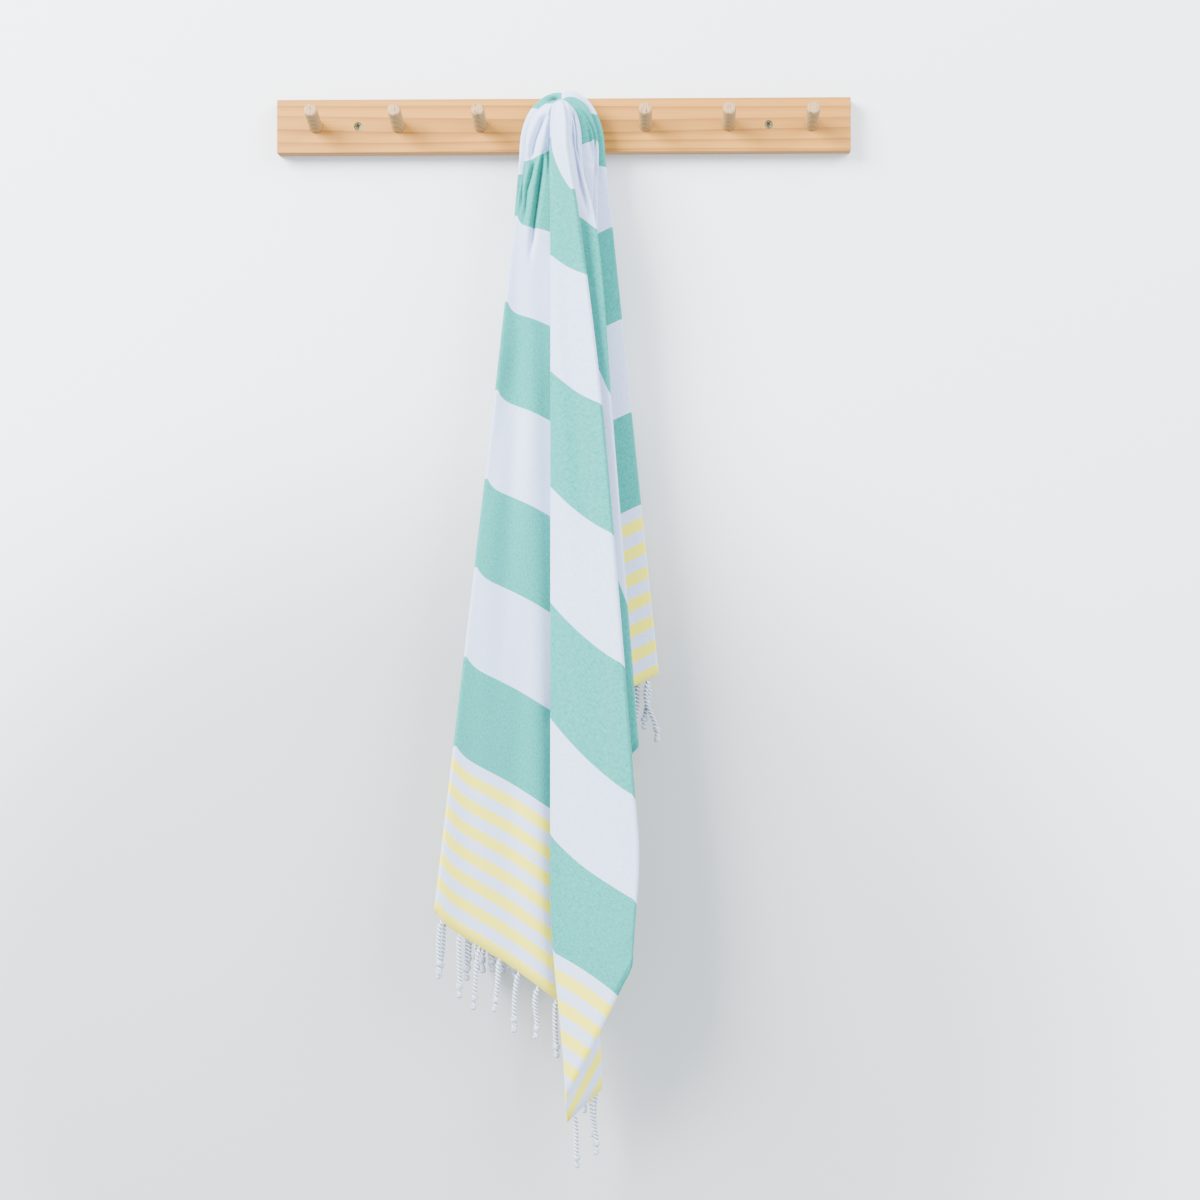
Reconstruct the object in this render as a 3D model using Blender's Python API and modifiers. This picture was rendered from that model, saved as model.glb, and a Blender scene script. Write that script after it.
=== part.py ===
"""Fringed towel hung over the middle peg of a wall peg rail.

Metres, +Z up. X runs along the rail, +Y into the wall, and the wall's face is the plane y = 0.
The origin is the middle of the rail's back face.
"""
import math

import bmesh
import bpy
import numpy as np
from mathutils import Matrix, Vector

# Rail board
RAIL_LENGTH = 0.608
RAIL_HEIGHT = 0.057
RAIL_THICKNESS = 0.018
RAIL_EDGE = 0.0006

# Pegs
PEG_COUNT = 7
PEG_PITCH = 0.0875
PEG_RADIUS = 0.007
PEG_OUT = 0.045
PEG_SOCKET = 0.011
PEG_TILT = math.radians(12.5)
PEG_END_ROUND = 0.0018
PEG_SIDES = 16
FIT_GAP = 0.0003

# Screws that hold the board to the wall
SCREW_X = 0.2175
SCREW_HEAD_RADIUS = 0.0043
SCREW_HEAD_DEPTH = 0.0034
SCREW_SHANK_RADIUS = 0.0021
SCREW_SIDES = 16
RECESS_LENGTH = 0.0048
RECESS_WIDTH = 0.0011
RECESS_DEPTH = 0.0016

# Towel as it was cut, measured from the point of the cloth that lies on the peg
SHEET = 0.0012
TO_FRONT_HEM = 0.940
TO_BACK_HEM = 0.737
TO_LEFT_SELVEDGE = 0.260
TO_RIGHT_SELVEDGE = 0.624

# Heights of the hanging cloth
APEX_Z = 0.034
NECK_Z = -0.034
MIDDLE_Z = -0.315
LOW_Z = -0.760
NEAREST_WALL = 0.005

# Crown: the gathered part over the peg
RIDGE_BACK = 0.0245
RIDGE_FRONT = 0.0575
SIDE_BULGE = 0.024
FRONT_BULGE = 0.012
PLEAT_BULGE = 0.004
CROWN_HALF_WIDTH = 0.030
CROWN_FRONT = 0.028
CROWN_FLARE = 0.32
SIDE_SHARE = 0.70
CROWN_ROWS = 8
HANG_ROWS = 12

# Fringe
TASSEL_COUNT = 22
TASSEL_WIDTH = 0.0036
TASSEL_LEAN_BACK = 0.04
# How far tassels splay with a sloping hem, and how far they keep from the hem's turns, before
# and after each turn.
FRONT_SPLAY = 0.20
FRONT_CLEAR = (0.010, 0.010)
BACK_SPLAY = 0.12
BACK_CLEAR = (0.010, 0.014)
STRIP_HEIGHT = 0.003
STRIP_GAP = 0.0004
TURN_GAP = 0.0022
# A tassel's rings below the strip: how far down, width and depth.
TASSEL_RINGS = ((0.001, 0.0036, 0.0030), (0.040, 0.0036, 0.0032), (0.0445, 0.0056, 0.0044),
                (0.049, 0.0034, 0.0030), (0.060, 0.0046, 0.0040))

# The cloth's folds in their order along the sheet, from the left selvedge in front, round the
# free side, to the left selvedge at the back. Each fold is a line of the cloth that starts at the
# peg. side: the cloth's distance right of the peg line, for folds of the gathered strip.
# angle: the cloth's angle from straight down the front, for folds that start at the peg's tip.
# x and out: where the fold hangs at the neck, middle and low height, in mm along the rail and
# out from the wall. slack: cloth in mm taken up over the peg. fall: drop for each metre of cloth.
# inner: cross-section points between this fold and the next one.
FOLD_COLUMNS = ("name", "side", "angle", "x_neck", "x_middle", "x_low",
                "out_neck", "out_middle", "out_low", "slack", "fall", "inner")
FOLDS = (
    ("left_edge_front", -260, None, -14, -14, -14, 23.5, 7.5, 7, 30, 0.98, 1),
    ("shoulder_1", -220, None, -51, -54, -88, 28, 13, 12.5, 30, 0.98, 1),
    ("tuck_1", -180, None, -15, -18, -16, 33, 19, 18.5, 30, 0.98, 1),
    ("shoulder_2", -140, None, -47, -56, -92, 38, 25.5, 25, 30, 0.98, 2),
    ("tuck_2", -110, None, -15, -18, -16, 43.5, 32, 31.5, 30, 0.98, 2),
    ("shoulder_3", -85, None, -45, -57, -98, 49, 40, 42, 30, 0.98, 2),
    ("tuck_3", -70, None, -16, -20, -18, 54.5, 46, 48, 30, 0.98, 2),
    ("left_panel_edge", None, -3.6, -33, -65, -115, 61, 64, 90, 22, 0.945, 4),
    ("hidden_fold", None, 21.5, -2, 11, 30, 73, 50, 52, 0, 0.98, 2),
    ("right_panel_inner", None, 34.9, -11, -11, -9, 82, 70, 76, 0, 0.975, 3),
    ("right_panel_edge", None, 42.6, 5, 44, 81, 92, 94, 114, 0, 0.985, 1),
    ("behind_1", None, 53.0, 3, 9, 14, 86, 74, 78, 10, 0.98, 1),
    ("pleat_a", None, 63.0, 16, 51, 84, 82, 82, 94, 0, 0.98, 0),
    ("behind_2", None, 74.0, 12, 15, 22, 76, 67, 72, 30, 0.98, 0),
    ("pleat_b", None, 86.0, 28, 49, 68, 71, 65, 69, 35, 0.98, 0),
    ("behind_3", None, 98.0, 15, 17, 26, 66, 60, 63, 40, 0.98, 0),
    ("pleat_c", None, 110.0, 29, 50, 64, 61.5, 56, 58, 50, 0.98, 0),
    ("behind_4", None, 120.0, 15, 18, 42, 57, 52, 54, 55, 0.98, 0),
    ("pleat_d", None, 130.0, 28, 50, 66, 53, 48, 50, 60, 0.98, 0),
    ("back_corner", None, 139.7, 15, 4, -10, 49, 43.5, 43, 60, 0.98, 0),
    ("pleat_e", None, 150.0, 28, 54, 84, 45.5, 39.5, 39, 75, 0.98, 0),
    ("behind_5", None, 163.0, 15, -6, 2, 41.5, 34.5, 34.5, 90, 0.98, 0),
    ("back_tail_edge", None, 178.0, 45, 73, 118, 37.5, 29.5, 30, 95, 0.98, 0),
    ("back_tuck_1", -65, None, 16, -8, 0, 33.7, 24, 23, 95, 0.98, 0),
    ("back_shoulder", -130, None, 38, 62, 92, 30, 18.5, 17, 95, 0.98, 0),
    ("back_tuck_2", -195, None, 16, -8, 0, 26.2, 12.8, 11.5, 95, 0.98, 0),
    ("left_edge_back", -260, None, 36, 50, 60, 22.3, 7, 6, 95, 0.98, 0),
)
TURN = 0.0015
FOLD_SPREAD = 0.5
PIVOT = "right_panel_edge"
FRONT_CORNER = "right_panel_inner"
BACK_CORNER = "back_corner"

PARTS = "towel_on_peg_rail"
CUTTERS = "cutters"


def clear_scene():
    for obj in list(bpy.data.objects):
        bpy.data.objects.remove(obj, do_unlink=True)


def collection(name):
    made = bpy.data.collections.new(name)
    bpy.context.scene.collection.children.link(made)
    return made


def material(name, colour, roughness, metallic=0.0):
    made = bpy.data.materials.new(name)
    made.use_nodes = True
    shader = made.node_tree.nodes["Principled BSDF"]
    shader.inputs["Base Color"].default_value = (*colour, 1.0)
    shader.inputs["Roughness"].default_value = roughness
    shader.inputs["Metallic"].default_value = metallic
    return made


def put(mesh, name, finish, home):
    obj = bpy.data.objects.new(name, mesh)
    home.objects.link(obj)
    if finish is not None:
        mesh.materials.append(finish)
    return obj


def as_cutter(obj):
    obj.hide_render = True
    obj.display_type = "WIRE"
    return obj


def cut(obj, cutter):
    step = obj.modifiers.new(cutter.name, "BOOLEAN")
    step.operation = "DIFFERENCE"
    step.object = cutter


def box_mesh(name, size):
    shape = bmesh.new()
    bmesh.ops.create_cube(shape, size=1.0, matrix=Matrix.Diagonal((*size, 1.0)))
    mesh = bpy.data.meshes.new(name)
    shape.to_mesh(mesh)
    shape.free()
    return mesh


def cone_mesh(name, radius_low, radius_high, length, sides):
    """A cylinder or cone along +Z that starts at z = 0."""
    shape = bmesh.new()
    bmesh.ops.create_cone(
        shape, cap_ends=True, segments=sides, radius1=radius_low, radius2=radius_high,
        depth=length, matrix=Matrix.Translation((0.0, 0.0, length / 2)))
    mesh = bpy.data.meshes.new(name)
    shape.to_mesh(mesh)
    shape.free()
    return mesh


def outward(tilt=0.0):
    """Turns +Z to -Y, away from the wall, and then up by the tilt."""
    return Matrix.Rotation(math.pi / 2 - tilt, 4, "X")


# Pegs

def peg_places():
    first = -PEG_PITCH * (PEG_COUNT - 1) / 2
    return [first + PEG_PITCH * step for step in range(PEG_COUNT)]


def peg_base(x, depth):
    """The point on a peg's axis that lies a depth into the board."""
    start = Vector((x, -RAIL_THICKNESS, 0.0))
    return start - outward(PEG_TILT).to_3x3() @ Vector((0.0, 0.0, depth))


def make_pegs(parts):
    finish = material("peg_wood", (0.78, 0.66, 0.50), 0.6)
    length = PEG_SOCKET + PEG_OUT
    for number, x in enumerate(peg_places(), start=1):
        mesh = cone_mesh(f"peg_{number}", PEG_RADIUS, PEG_RADIUS, length, PEG_SIDES)
        mesh.shade_smooth()
        peg = put(mesh, f"peg_{number}", finish, parts)
        peg.matrix_world = Matrix.Translation(peg_base(x, PEG_SOCKET)) @ outward(PEG_TILT)
        edge = peg.modifiers.new("rounded_ends", "BEVEL")
        edge.width = PEG_END_ROUND
        edge.segments = 2
        edge.limit_method = "ANGLE"
        mesh.set_sharp_from_angle(angle=math.radians(40))


# Screws

def screw_mesh(name, grow):
    """Countersunk head and shank as one turned profile along +Z, head upwards."""
    head = SCREW_HEAD_RADIUS + grow
    shank = SCREW_SHANK_RADIUS + grow
    top = RAIL_THICKNESS + (0.001 if grow else -0.0002)
    shoulder = RAIL_THICKNESS - SCREW_HEAD_DEPTH
    bottom = -0.001 if grow else 0.0002
    profile = ((0.0, top), (head, top), (head, RAIL_THICKNESS - 0.0006), (shank, shoulder),
               (shank, bottom), (0.0, bottom))
    mesh = bpy.data.meshes.new(name)
    mesh.from_pydata([(x, 0.0, z) for x, z in profile],
                     [(k, k + 1) for k in range(len(profile) - 1)], [])
    return mesh


def turn(obj, sides):
    step = obj.modifiers.new("turned", "SCREW")
    step.axis = "Z"
    step.steps = sides
    step.render_steps = sides
    step.use_merge_vertices = True
    step.merge_threshold = 0.00001


def make_screws(parts, cutters):
    finish = material("screw_steel", (0.42, 0.42, 0.44), 0.35, 1.0)
    holes = []
    for number, x in enumerate((-SCREW_X, SCREW_X), start=1):
        screw = put(screw_mesh(f"screw_{number}", 0.0), f"screw_{number}", finish, parts)
        screw.matrix_world = Matrix.Translation((x, 0.0, 0.0)) @ outward()
        turn(screw, SCREW_SIDES)
        for blade in range(2):
            size = (RECESS_LENGTH, RECESS_WIDTH, 2 * RECESS_DEPTH)
            bar = put(box_mesh(f"recess_{number}_{blade}", size), f"recess_{number}_{blade}",
                      None, cutters)
            bar.matrix_world = (
                Matrix.Translation((x, -RAIL_THICKNESS + 0.0002, 0.0)) @ outward()
                @ Matrix.Rotation(math.radians(20 + 90 * blade), 4, "Z"))
            cut(screw, as_cutter(bar))
        hole = put(screw_mesh(f"screw_hole_{number}", FIT_GAP), f"screw_hole_{number}", None,
                   cutters)
        hole.matrix_world = Matrix.Translation((x, 0.0, 0.0)) @ outward()
        turn(hole, SCREW_SIDES)
        holes.append(as_cutter(hole))
    return holes


# Rail

def make_rail(parts, cutters, screw_holes):
    finish = material("rail_pine", (0.80, 0.57, 0.34), 0.55)
    size = (RAIL_LENGTH, RAIL_THICKNESS, RAIL_HEIGHT)
    rail = put(box_mesh("rail", size), "rail", finish, parts)
    rail.location = (0.0, -RAIL_THICKNESS / 2, 0.0)
    edge = rail.modifiers.new("eased_edges", "BEVEL")
    edge.width = RAIL_EDGE
    edge.segments = 1
    for number, x in enumerate(peg_places(), start=1):
        depth = PEG_SOCKET + FIT_GAP
        drill = put(cone_mesh(f"drill_{number}", PEG_RADIUS + FIT_GAP, PEG_RADIUS + FIT_GAP,
                              depth + 0.01, PEG_SIDES), f"drill_{number}", None, cutters)
        drill.matrix_world = Matrix.Translation(peg_base(x, depth)) @ outward(PEG_TILT)
        cut(rail, as_cutter(drill))
    for hole in screw_holes:
        cut(rail, hole)
    return rail


# Cloth

def fold_table():
    """The folds as arrays by column name, with millimetres as metres."""
    table = {}
    for column, values in zip(FOLD_COLUMNS, zip(*FOLDS)):
        if column == "name":
            table[column] = list(values)
        elif column in ("side", "angle"):
            table[column] = np.array([np.nan if v is None else v for v in values], float)
        elif column in ("fall", "inner"):
            table[column] = np.array(values, float)
        else:
            table[column] = np.array(values, float) / 1000
    return table


def curved(z, low, middle, high):
    """The parabola over height that passes the neck, middle and low values."""
    to_neck = (z - MIDDLE_Z) * (z - LOW_Z) / ((NECK_Z - MIDDLE_Z) * (NECK_Z - LOW_Z))
    to_middle = (z - NECK_Z) * (z - LOW_Z) / ((MIDDLE_Z - NECK_Z) * (MIDDLE_Z - LOW_Z))
    to_low = (z - NECK_Z) * (z - MIDDLE_Z) / ((LOW_Z - NECK_Z) * (LOW_Z - MIDDLE_Z))
    return high * to_neck + middle * to_middle + low * to_low


def settled(z, low, middle, high):
    """A straight line through the low and middle values, and above them a cubic that leaves it
    without a kink and reaches the neck value."""
    slope = (middle - low) / (MIDDLE_Z - LOW_Z)
    straight = middle + slope * (z - MIDDLE_Z)
    up = np.clip((z - MIDDLE_Z) / (NECK_Z - MIDDLE_Z), 0.0, 1.0)
    missing = high - (middle + slope * (NECK_Z - MIDDLE_Z))
    return straight + missing * up * up * (2.0 - up)


def fold_lines(table, z):
    """Where each fold hangs in plan (x along the rail, y into the wall) at the heights z."""
    z = np.asarray(z, float)[..., None]
    x = curved(z, table["x_low"], table["x_middle"], table["x_neck"])
    out = settled(z, table["out_low"], table["out_middle"], table["out_neck"])
    return np.stack((x, -np.maximum(out, NEAREST_WALL)), axis=-1)


def unit(v):
    return v / np.linalg.norm(v, axis=-1, keepdims=True)


def columns(table):
    """The cross-section's points in order: the fold before and after each point, how far along
    between them, and which side of a fold's turn it is on (-1 before, 0 its tip, 1 after)."""
    rows = []
    last = len(FOLDS) - 1
    for fold in range(last + 1):
        if 0 < fold < last:
            rows += [(fold, fold, 0.0, -1), (fold, fold, 0.0, 0), (fold, fold, 0.0, 1)]
        else:
            rows.append((fold, fold, 0.0, 0))
        if fold < last:
            inner = int(table["inner"][fold])
            rows += [(fold, fold + 1, (k + 1) / (inner + 1), 2) for k in range(inner)]
    return np.array(rows, float)


def plan(table, cols, z):
    """The plan position of each column at its own height. Layers meet in U-shaped turns: at a
    fold the two layers stand TURN each side of the fold's line, and the turn's tip bulges out."""
    folds = fold_lines(table, z)
    before = np.concatenate((folds[..., :1, :], folds[..., :-1, :]), axis=-2)
    after = np.concatenate((folds[..., 1:, :], folds[..., -1:, :]), axis=-2)
    arrive = np.zeros_like(folds)
    leave = np.zeros_like(folds)
    arrive[..., 1:, :] = unit((folds - before)[..., 1:, :])
    leave[..., :-1, :] = unit((after - folds)[..., :-1, :])
    inward = leave - arrive
    inward[..., 0, :] = 0.0
    inward[..., -1, :] = 0.0
    size = np.linalg.norm(inward, axis=-1, keepdims=True)
    inward = np.divide(inward, size, out=np.zeros_like(inward), where=size > 1e-9)
    aside = np.stack((-inward[..., 1], inward[..., 0]), axis=-1)
    toward = np.sum(aside * leave, axis=-1, keepdims=True)
    aside = np.where(toward < 0, -aside, aside)
    index = np.arange(len(cols))
    first = cols[:, 0].astype(int)
    second = cols[:, 1].astype(int)
    share = cols[:, 2][:, None]
    turn_side = cols[:, 3]
    start = folds[index, first] + TURN * aside[index, first]
    end = folds[index, second] - TURN * aside[index, second]
    between = start * (1 - share) + end * share
    at_fold = folds[index, first] + TURN * aside[index, first] * turn_side[:, None]
    tip = folds[index, first] - 0.8 * TURN * inward[index, first]
    place = np.where((turn_side == 2)[:, None], between, at_fold)
    return np.where((turn_side == 0)[:, None], tip, place)


def fold_feet(table):
    """For the three points of each fold (before, tip, after): the place across the cloth where
    the fold's line meets the cut edge, and the height of that foot."""
    count = len(FOLDS)
    strip = np.isnan(table["angle"])
    start = np.where(strip, np.nan_to_num(table["side"], nan=0.0) / 1000, 0.0)
    behind = np.arange(count) > table["name"].index(PIVOT)
    angle = np.where(strip, np.where(behind, 180.0, 0.0), table["angle"])
    spread = np.where(strip, 0.0, FOLD_SPREAD)
    angle = np.radians(angle[:, None] + spread[:, None] * np.array((-1.0, 0.0, 1.0)))
    down = np.cos(angle)
    across = np.sin(angle)
    to_hem = np.where(down > 0, TO_FRONT_HEM, -TO_BACK_HEM) / down
    to_side = np.full(angle.shape, np.inf)
    np.divide(TO_RIGHT_SELVEDGE, across, out=to_side, where=across > 0.001)
    length = np.minimum(to_hem, to_side)
    foot_z = APEX_Z - (length - table["slack"][:, None]) * table["fall"][:, None]
    return start[:, None] + length * across, foot_z


def column_feet(table, cols):
    """The feet of all columns. Between two folds the cloth hangs flat, so its cut edge there is
    a straight line from one fold's foot to the next one's."""
    across, foot_z = fold_feet(table)
    first = cols[:, 0].astype(int)
    second = cols[:, 1].astype(int)
    share = cols[:, 2]
    between = cols[:, 3] == 2
    at_fold = np.where(between, 0, cols[:, 3]).astype(int) + 1

    def spread(values):
        lerp = values[first, 2] * (1 - share) + values[second, 0] * share
        return np.where(between, lerp, values[first, at_fold])

    return spread(across), spread(foot_z)


def ridge_top(out):
    """The height of the middle peg's upper side at a distance out from the wall."""
    along = out - RAIL_THICKNESS
    return along * math.tan(PEG_TILT) + PEG_RADIUS / math.cos(PEG_TILT)


def cloth_grid():
    """The towel's middle surface as a grid of points: one column for each point of the folded
    cross-section, one row for each step down its line of cloth, from the peg to the cut edge."""
    table = fold_table()
    cols = columns(table)
    across, foot_z = column_feet(table, cols)
    count = len(cols)
    pivot = int(np.flatnonzero((cols[:, 0] == table["name"].index(PIVOT)) & (cols[:, 3] == 0))[0])
    # Place along the ridge: 0 at the board, 1 at the fold that hangs straight off the tip.
    left = np.arange(count) <= pivot
    place = np.where(left, np.arange(count) / pivot,
                     (count - 1 - np.arange(count)) / (count - 1 - pivot))
    sign = np.where(left, -1.0, 1.0)
    ridge_out = RIDGE_BACK + (RIDGE_FRONT - RIDGE_BACK) * np.minimum(place / SIDE_SHARE, 1.0)
    ridge = np.stack((np.zeros(count), -ridge_out), axis=-1)
    ridge_z = ridge_top(ridge_out) + FIT_GAP + SHEET / 2
    round_tip = np.radians(90) * np.clip((place - SIDE_SHARE) / (1 - SIDE_SHARE), 0.0, 1.0)
    ring = ridge + np.stack((sign * CROWN_HALF_WIDTH * np.cos(round_tip),
                             -CROWN_FRONT * np.sin(round_tip)), axis=-1)
    neck = plan(table, cols, np.full(count, NECK_Z))
    front = np.sin(round_tip) ** 2
    outer = np.clip(np.abs(neck[:, 0]) - CROWN_HALF_WIDTH, -0.012, 0.012) / 0.012
    bulge = SIDE_BULGE * (1 - front) + FRONT_BULGE * front + PLEAT_BULGE * outer * (1 - front)
    rows = []
    for step in range(CROWN_ROWS):
        t = step / CROWN_ROWS
        fraction = 3 * t * (1 - t) ** 2 * CROWN_FLARE + 3 * t * t * (1 - t) + t ** 3
        pleated = t * t * (3 - 2 * t)
        flat = (ring * (1 - pleated) + neck * pleated) * fraction + ridge * (1 - fraction)
        z = ridge_z * (1 - t) ** 3 + 3 * t * (1 - t) * (ridge_z + bulge) + NECK_Z * t ** 3
        rows.append(np.column_stack((flat, z)))
    for step in range(HANG_ROWS + 1):
        z = NECK_Z + (foot_z - NECK_Z) * step / HANG_ROWS
        rows.append(np.column_stack((plan(table, cols, z), z)))
    return np.array(rows), across


def grid_mesh(name, grid):
    """Quads between the rows. The first row lies on the ridge, where its left and right halves
    meet point for point and are merged."""
    rows, count = grid.shape[:2]
    index = np.arange(rows * count).reshape(rows, count)
    quads = np.stack((index[:-1, :-1], index[1:, :-1], index[1:, 1:], index[:-1, 1:]), axis=-1)
    mesh = bpy.data.meshes.new(name)
    mesh.from_pydata(grid.reshape(-1, 3).tolist(), [], quads.reshape(-1, 4).tolist())
    shape = bmesh.new()
    shape.from_mesh(mesh)
    bmesh.ops.remove_doubles(shape, verts=shape.verts, dist=0.00002)
    bmesh.ops.recalc_face_normals(shape, faces=shape.faces)
    shape.to_mesh(mesh)
    shape.free()
    return mesh


def make_cloth(parts):
    finish = material("towel_cotton", (0.42, 0.70, 0.66), 0.9)
    grid, across = cloth_grid()
    mesh = grid_mesh("towel_cloth", grid)
    mesh.shade_smooth()
    cloth = put(mesh, "towel_cloth", finish, parts)
    sheet = cloth.modifiers.new("cloth_thickness", "SOLIDIFY")
    sheet.thickness = SHEET
    sheet.offset = 0.0
    return grid, across


# Fringe

def hem_stations(hem, down, across, turns, centres, clear):
    """Points along a hem for the strip: one at each side of every tassel's root, and the hem's
    own points where no tassel hangs. A tassel keeps clear of the hem's turns at the folds. Gives
    each station's place, its downward direction, whether it is in a turn, and the tassel that
    starts there, or -1."""
    steps = np.linalg.norm(np.diff(hem, axis=0), axis=1)
    along = np.concatenate(((0.0,), np.cumsum(steps)))
    order = np.argsort(across)
    roots = np.interp(centres, across[order], along[order])
    roots = np.clip(roots, TASSEL_WIDTH, along[-1] - TASSEL_WIDTH)
    for turn_mark in along[turns]:
        off = roots - turn_mark
        roots = np.where((off < 0) & (off > -clear[0]), turn_mark - clear[0], roots)
        roots = np.where((off >= 0) & (off < clear[1]), turn_mark + clear[1], roots)
    marks = [(mark, -1) for mark in along
             if np.min(np.abs(roots - mark)) > TASSEL_WIDTH / 2 + 0.0004]
    marks += [(root - TASSEL_WIDTH / 2, number) for number, root in enumerate(roots)]
    marks += [(root + TASSEL_WIDTH / 2, -1) for root in roots]
    marks.sort()
    at = np.array([mark for mark, number in marks])
    place = np.column_stack([np.interp(at, along, hem[:, k]) for k in range(3)])
    fall = np.column_stack([np.interp(at, along, down[:, k]) for k in range(3)])
    apart = np.linalg.norm(place[:, None, :2] - hem[turns][None, :, :2], axis=2)
    at_turn = np.min(apart, axis=1) < 2 * TURN
    return place, unit(fall), at_turn, [number for mark, number in marks]


def strip_mesh(place, down, at_turn):
    """A ribbon of square section off the hem's edge, as a closed shape. Round a turn it hangs a
    little lower and straight down. It gives the ribbon's lower faces and, for each station, the
    directions along the hem, out of the cloth's edge and square to the cloth."""
    along = unit(np.gradient(place, axis=0))
    off_edge = unit(down - along * np.sum(down * along, axis=1, keepdims=True))
    off_edge = np.where(at_turn[:, None], down, off_edge)
    aside = unit(np.cross(along, off_edge))
    half = aside * SHEET / 2
    gap = np.where(at_turn, TURN_GAP, STRIP_GAP)[:, None]
    top = place + off_edge * gap
    low = top + off_edge * STRIP_HEIGHT
    rings = np.stack((top + half, low + half, low - half, top - half), axis=1)
    shape = bmesh.new()
    verts = [[shape.verts.new(point) for point in ring] for ring in rings]
    under = []
    for near, far in zip(verts[:-1], verts[1:]):
        for side in range(4):
            after = (side + 1) % 4
            face = shape.faces.new((near[side], near[after], far[after], far[side]))
            if side == 1:
                under.append(face)
    shape.faces.new(verts[0][::-1])
    shape.faces.new(verts[-1])
    return shape, under, along, off_edge, aside


def hang_tassel(shape, root, along, off_edge, aside, lean):
    """Draws a strand out of the strip and down, ring by ring, to the knot and the tuft."""
    along = Vector((along[0], along[1], 0.0)).normalized()
    aside = Vector((aside[0], aside[1], 0.0)).normalized()
    start = root.calc_center_median() + Vector(off_edge) * TASSEL_WIDTH / 2
    face = root
    for drop, width, depth in TASSEL_RINGS:
        middle = face.calc_center_median()
        signs = [(math.copysign(1, (v.co - middle).dot(along)),
                  math.copysign(1, (v.co - middle).dot(aside))) for v in face.verts]
        face = bmesh.ops.extrude_discrete_faces(shape, faces=[face])["faces"][0]
        centre = start + Vector((lean[0] * drop, lean[1] * drop, -drop))
        for vert, (one, two) in zip(face.verts, signs):
            vert.co = centre + along * (one * width / 2) + aside * (two * depth / 2)


def make_fringe(parts, name, finish, hem, down, across, turns, splay, clear):
    pitch = (TO_LEFT_SELVEDGE + TO_RIGHT_SELVEDGE) / TASSEL_COUNT
    centres = -TO_LEFT_SELVEDGE + pitch * (np.arange(TASSEL_COUNT) + 0.5)
    place, fall, at_turn, numbers = hem_stations(hem, down, across, turns, centres, clear)
    shape, under, along, off_edge, aside = strip_mesh(place, fall, at_turn)
    for station, number in enumerate(numbers):
        if number >= 0:
            lean = splay * off_edge[station] + np.array((0.0, TASSEL_LEAN_BACK, 0.0))
            hang_tassel(shape, under[station], along[station], off_edge[station], aside[station],
                        lean)
    bmesh.ops.recalc_face_normals(shape, faces=shape.faces)
    mesh = bpy.data.meshes.new(name)
    shape.to_mesh(mesh)
    shape.free()
    return put(mesh, name, finish, parts)


def make_fringes(parts, grid, across):
    finish = material("fringe_cotton", (0.86, 0.88, 0.88), 0.9)
    names = [row[0] for row in FOLDS]
    cols = columns(fold_table())
    front_end = int(np.flatnonzero(cols[:, 0] == names.index(FRONT_CORNER))[0]) + 1
    back_start = int(np.flatnonzero(cols[:, 0] == names.index(BACK_CORNER))[0]) + 1
    hem = grid[-1]
    down = unit(grid[-1] - grid[-2])
    turns = cols[:, 3] == 0
    front = slice(0, front_end)
    back = slice(back_start, None)
    make_fringe(parts, "front_fringe", finish, hem[front], down[front], across[front],
                turns[front], FRONT_SPLAY, FRONT_CLEAR)
    make_fringe(parts, "back_fringe", finish, hem[back], down[back], across[back],
                turns[back], BACK_SPLAY, BACK_CLEAR)


def main():
    clear_scene()
    parts = collection(PARTS)
    cutters = collection(CUTTERS)
    make_pegs(parts)
    holes = make_screws(parts, cutters)
    make_rail(parts, cutters, holes)
    grid, across = make_cloth(parts)
    make_fringes(parts, grid, across)


main()
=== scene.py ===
import math

import bmesh
import bpy
import numpy as np
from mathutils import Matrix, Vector


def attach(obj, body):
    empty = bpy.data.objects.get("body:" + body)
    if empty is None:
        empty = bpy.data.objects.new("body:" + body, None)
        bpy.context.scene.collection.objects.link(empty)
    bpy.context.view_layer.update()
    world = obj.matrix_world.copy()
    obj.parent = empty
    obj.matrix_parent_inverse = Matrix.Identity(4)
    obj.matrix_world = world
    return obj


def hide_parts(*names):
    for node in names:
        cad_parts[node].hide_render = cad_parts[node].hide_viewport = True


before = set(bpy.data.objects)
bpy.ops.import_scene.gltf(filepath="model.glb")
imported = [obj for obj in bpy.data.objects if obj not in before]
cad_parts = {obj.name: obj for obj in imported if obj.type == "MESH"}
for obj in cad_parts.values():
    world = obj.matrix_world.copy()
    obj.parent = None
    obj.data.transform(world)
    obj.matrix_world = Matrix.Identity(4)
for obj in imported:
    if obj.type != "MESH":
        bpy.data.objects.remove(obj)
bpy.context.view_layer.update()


# Camera. It stands a little right of the towel, level with its middle, far enough back that the
# pegs show only slightly from below, and it looks a degree and a half to the left.
CAMERA_PLACE = (0.108, -2.7, -0.5025)
CAMERA_TURN = math.radians(1.47)
FRAME_AT_WALL = 1.278

camera_data = bpy.data.cameras.new("camera")
camera_data.sensor_width = 36.0
camera_data.lens = 36.0 * abs(CAMERA_PLACE[1]) / FRAME_AT_WALL
camera_data.clip_end = 40.0
camera = bpy.data.objects.new("camera", camera_data)
camera.location = CAMERA_PLACE
camera.rotation_euler = (math.pi / 2, 0.0, CAMERA_TURN)
bpy.context.scene.collection.objects.link(camera)
bpy.context.scene.camera = camera


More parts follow.
